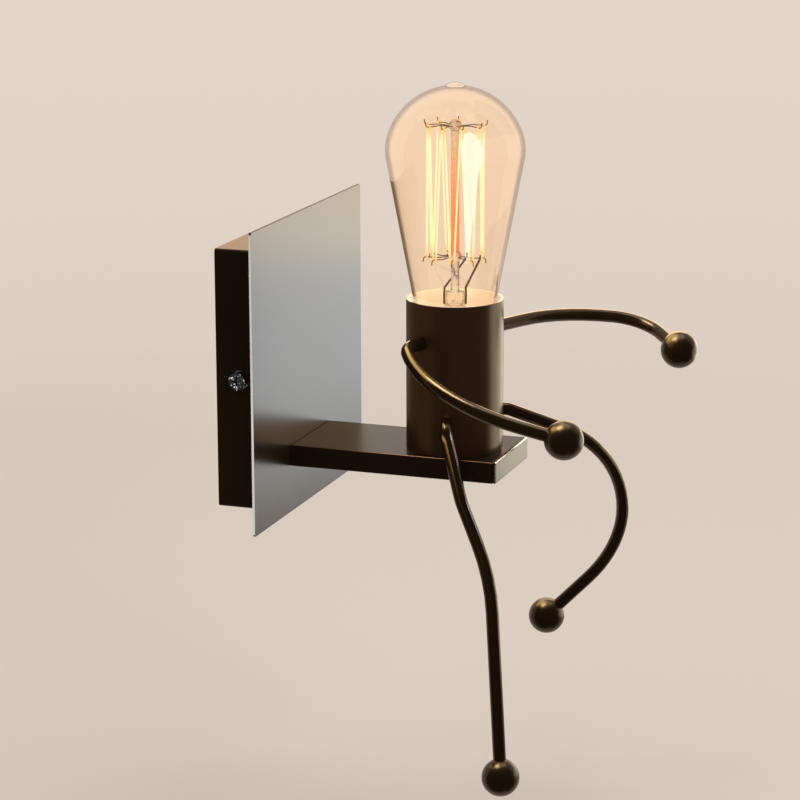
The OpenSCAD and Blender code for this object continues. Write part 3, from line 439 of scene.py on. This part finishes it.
def make_floor():
    """A pale floor under the lamp whose rim fades, so that it has no edge against the backdrop. Its matt
    paint, rolled on, has no gloss of its own."""
    work = bmesh.new()
    bmesh.ops.create_circle(work, cap_ends=True, segments=96, radius=FLOOR_R)
    made = bpy.data.objects.new("floor", finished_mesh("floor", work))
    made.location.z = FLOOR_Z
    made.visible_glossy = False
    bpy.context.scene.collection.objects.link(made)
    paint, tree, shader, place = new_finish(
        "matt_floor_paint", Base_Color=srgb("d8cfc6"), Roughness=1.0, Specular_IOR_Level=0.0)
    away = add(tree, "ShaderNodeVectorMath", {0: place}, operation="LENGTH")
    fade = add(tree, "ShaderNodeMapRange", {
        "Value": away.outputs["Value"], "From Min": FLOOR_FADE[0], "From Max": FLOOR_FADE[1],
        "To Min": 1.0, "To Max": 0.0}, interpolation_type="SMOOTHSTEP")
    tree.links.new(fade.outputs["Result"], shader["Alpha"])
    made.data.materials.append(paint)


def make_flag(name, place, axis):
    """A black card turned upright about an axis, seen in the lamp's gloss alone, that keeps its near
    faces dark."""
    work = bmesh.new()
    bmesh.ops.create_grid(work, x_segments=1, y_segments=1, size=FLAG_SIZE / 2)
    bmesh.ops.rotate(work, verts=work.verts, matrix=Matrix.Rotation(math.radians(90), 3, axis))
    made = bpy.data.objects.new(name, finished_mesh(name, work))
    made.location = place
    made.data.materials.append(black_felt)
    for way in ("camera", "diffuse", "transmission", "volume_scatter", "shadow"):
        setattr(made, "visible_" + way, False)
    bpy.context.scene.collection.objects.link(made)


def light_set(name, link_state, members):
    """A set of pieces that a light leaves out or lights alone."""
    made = bpy.data.collections.new(name)
    for member in members:
        made.objects.link(member)
    for link in made.collection_objects:
        link.light_linking.link_state = link_state
    return made


def place_light(name, kind, power, tint, lit):
    """A light of a power in watts and a tint, which shines on a set of pieces and isn't seen itself."""
    data = bpy.data.lights.new(name, kind)
    data.energy = power
    data.color = srgb(tint)[:3]
    made = bpy.data.objects.new(name, data)
    made.visible_camera = False
    made.visible_transmission = False
    made.light_linking.receiver_collection = lit
    bpy.context.scene.collection.objects.link(made)
    return made


def make_softbox(name, place, aim, size, power, tint, lit, gloss_only=True):
    """A rounded softbox, wide and high, that shows in the gloss of the things it lights."""
    made = place_light(name, "AREA", power, tint, lit)
    made.data.shape = "ELLIPSE"
    made.data.size, made.data.size_y = size
    made.location = place
    made.rotation_euler = (Vector(aim) - Vector(place)).to_track_quat("-Z", "Y").to_euler()
    made.visible_diffuse = not gloss_only


def make_bulb_glow(lit):
    """The lit bulb's warm light, from the middle of its filament cage, out through the glass."""
    made = place_light("bulb_glow", "POINT", 0.42, "ffe0c4", lit)
    made.data.shadow_soft_size = 0.025
    low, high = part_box("filament")
    made.location = (low + high) / 2
    nodes["bulb_glass"].visible_shadow = False


def make_world():
    """An evenly lit room. What is seen past the floor, straight on, in a gloss or through the bulb, is
    a pale backdrop."""
    made = bpy.data.worlds.new("studio")
    made.use_nodes = True
    tree = made.node_tree
    tree.nodes.clear()
    way = add(tree, "ShaderNodeTexCoord").outputs["Generated"]
    parts = add(tree, "ShaderNodeSeparateXYZ", {"Vector": way}).outputs
    room = add(tree, "ShaderNodeBackground", {"Color": srgb("fffaf4"), "Strength": ROOM_LEVEL})
    height = add(tree, "ShaderNodeMapRange", {
        "Value": parts["Z"], "From Min": BACKDROP_SHADE[0], "From Max": BACKDROP_SHADE[1]})
    shade = add(tree, "ShaderNodeMix", {
        "Factor": height.outputs["Result"], "A": srgb("d6c8ba"), "B": srgb("e6dace")}, data_type="RGBA")
    backdrop = add(tree, "ShaderNodeBackground", {"Color": shade.outputs["Result"], "Strength": 1.0})
    seen = add(tree, "ShaderNodeLightPath").outputs
    shown = seen["Is Camera Ray"]
    for ray in ("Is Glossy Ray", "Is Transmission Ray"):
        shown = add(tree, "ShaderNodeMath", {0: shown, 1: seen[ray]}, operation="MAXIMUM").outputs["Value"]
    both = add(tree, "ShaderNodeMixShader", {
        0: shown, 1: room.outputs["Background"], 2: backdrop.outputs["Background"]})
    add(tree, "ShaderNodeOutputWorld", {"Surface": both.outputs["Shader"]})
    bpy.context.scene.world = made


def make_camera():
    """The photograph's own camera, worked out from the edges of the box, the bar and the bulb."""
    azimuth, elevation, roll = (math.radians(a) for a in (-70.51, 13.855, -0.147))
    distance, along, above = 1.3215, -0.0310, -0.0155
    target = Vector((0, -0.1, 0))
    focal_px, image_px, sensor_mm = 2863.1, 800, 36
    level_back = Vector((math.sin(azimuth), -math.cos(azimuth), 0)) * math.cos(elevation)
    back = level_back + Vector((0, 0, math.sin(elevation)))
    level = Vector((0, 0, 1)).cross(back).normalized()
    rise = back.cross(level)
    right = math.cos(roll) * level + math.sin(roll) * rise
    up = math.cos(roll) * rise - math.sin(roll) * level
    data = bpy.data.cameras.new("camera")
    data.sensor_width = sensor_mm
    data.lens = focal_px / image_px * sensor_mm
    made = bpy.data.objects.new("camera", data)
    turn = Matrix((right, up, back)).transposed().to_4x4()
    made.matrix_world = Matrix.Translation(target + back * distance + right * along + up * above) @ turn
    bpy.context.scene.collection.objects.link(made)
    bpy.context.scene.camera = made


make_floor()
make_world()
make_flag("near_flag", (-0.45, -1, 0), "Y")
make_flag("right_flag", (-2.05, -1.2, 0), "X")

# Which pieces each light shines on
glass = nodes["bulb_glass"]
sleeve = nodes["sleeve"]
bar = sheets["support_bar"]
cap = sheets["bar_end_cap"]
limbs = list(rods.values()) + [nodes[limb + "_ball"] for limb in LIMBS]
off_glass = light_set("kept_off_glass", "EXCLUDE", [glass])
off_round = light_set("kept_off_glass_limbs_sleeve_and_cap", "EXCLUDE", [glass, cap, sleeve] + limbs)
on_glass = light_set("glass_alone", "INCLUDE", [glass])
outside_bulb = light_set("outside_the_bulb", "EXCLUDE", [glass, nodes["bulb_stem"]] + wires_in_bulb)
on_round = light_set("limbs_sleeve_and_cap", "INCLUDE", limbs + [sleeve, cap])
on_limbs_and_sleeve = light_set("limbs_and_sleeve", "INCLUDE", limbs + [sleeve])
on_limbs_and_bar = light_set("limbs_and_bar", "INCLUDE", limbs + [bar, cap])
on_most_limbs = light_set(
    "limbs_but_right_arm", "INCLUDE", [limb for limb in limbs if limb != rods["right_arm"]])
on_bar = light_set("bar_alone", "INCLUDE", [bar])
on_cap = light_set("cap_alone", "INCLUDE", [cap])
on_leg = light_set("left_leg_alone", "INCLUDE", [rods["left_leg"]])
on_sleeve = light_set("sleeve_alone", "INCLUDE", [sleeve])
on_box = light_set("box_alone", "INCLUDE", [sheets["back_box"]])
on_plate = light_set("plate_and_screws", "INCLUDE", [sheets["front_plate"], nodes["side_screws"]])

# The light from above, the only softbox that lights matt surfaces and casts the shadow on the floor
make_softbox(
    "top_softbox", place=(0.5, -0.2, 1.4), aim=(0.1, -0.1, 0), size=(1, 1), power=6.5, tint="fffaf4",
    lit=off_glass, gloss_only=False)

# A wide light at the lamp's right: grey on the plate and the bar, and warmer on the cap and round pieces
AT_RIGHT = dict(place=(0.45, -0.45, -0.105), aim=(0, -0.08, -0.05), size=(0.8, 0.32))
make_softbox("side_softbox", **AT_RIGHT, power=1.7, tint="dcf0fe", lit=off_round)
make_softbox("warm_end_softbox", **AT_RIGHT, power=1.4, tint="e9ebd2", lit=on_round)

# A warm strip that yellows the plate
make_softbox(
    "warm_side_softbox", place=(0.45, -0.2, 0.03), aim=(0, -0.02, 0.05), size=(0.4, 0.16), power=0.22,
    tint="ffd870", lit=off_glass)

# Warm lights from above and behind: a pale ridge and a golden side along the limbs
make_softbox(
    "warm_top_softbox", place=(-0.05, 0.2, 1.0), aim=(0, -0.1, 0), size=(0.5, 0.5), power=14,
    tint="fff2da", lit=on_limbs_and_bar)
make_softbox(
    "warm_high_softbox", place=(0.25, 0.45, 0.8), aim=(0, -0.1, 0), size=(1.1, 0.9), power=20,
    tint="ffe08a", lit=on_most_limbs)

# A golden streak and a white line down the left leg
make_softbox(
    "warm_leg_softbox", place=(-0.32, 0.077, 0.03), aim=(-0.035, -0.1, -0.04), size=(0.56, 0.16),
    power=1.9, tint="ffd488", lit=on_leg)
make_softbox(
    "white_leg_softbox", place=(0.14, -0.46, 0.1), aim=(-0.035, -0.1, -0.04), size=(0.15, 0.14),
    power=1.2, tint="c8dcf5", lit=on_leg)

# A copper line along the bar's upper edge, and pale lines along the upper and side edges of its cap
make_softbox(
    "bar_edge_softbox", place=(-0.24, 0.22, 0.8), aim=(-0.025, -0.07, -0.025), size=(0.7, 0.7),
    power=24, tint="ffb48c", lit=on_bar)
make_softbox(
    "cap_top_softbox", place=(0.55, -0.26, 0.17), aim=(0, -0.12, -0.025), size=(0.3, 0.25),
    power=2.8, tint="fff8e8", lit=on_cap)
make_softbox(
    "cap_side_softbox", place=(-0.19, -0.58, -0.15), aim=(-0.025, -0.12, -0.03), size=(0.15, 0.15),
    power=1.1, tint="fff8e8", lit=on_cap)

# Warm tones on the top of the box, on the limbs and on the sleeve's left side
make_softbox(
    "warm_box_softbox", place=(0.48, 0.14, 0.18), aim=(0, 0, 0.06), size=(0.3, 0.16), power=0.13,
    tint="ffb860", lit=on_box)
make_softbox(
    "warm_arm_softbox", place=(0.5, 0.02, 0.14), aim=(0, -0.15, 0.02), size=(0.4, 0.2), power=0.9,
    tint="ffce90", lit=on_limbs_and_sleeve)
make_softbox(
    "warm_sleeve_softbox", place=(-0.045, -0.03, -0.015), aim=(-0.045, -0.1, -0.015), size=(0.15, 0.14),
    power=0.012, tint="ffdaa4", lit=on_sleeve)

# The bright near edge of the plate and the glints on the screws
make_softbox(
    "edge_softbox", place=(-0.41, 0.12, -0.09), aim=(-0.07, -0.022, 0), size=(0.3, 0.35), power=8.5,
    tint="bcd5f7", lit=on_plate)

# The white band in the bulb's glass
make_softbox(
    "bulb_softbox", place=(-0.168, -0.263, 0.124), aim=(0, -0.1, 0.124), size=(0.15, 0.412), power=1.15,
    tint="fffdf8", lit=on_glass)

make_bulb_glow(outside_bulb)
make_camera()
bpy.context.scene.view_settings.view_transform = "Standard"
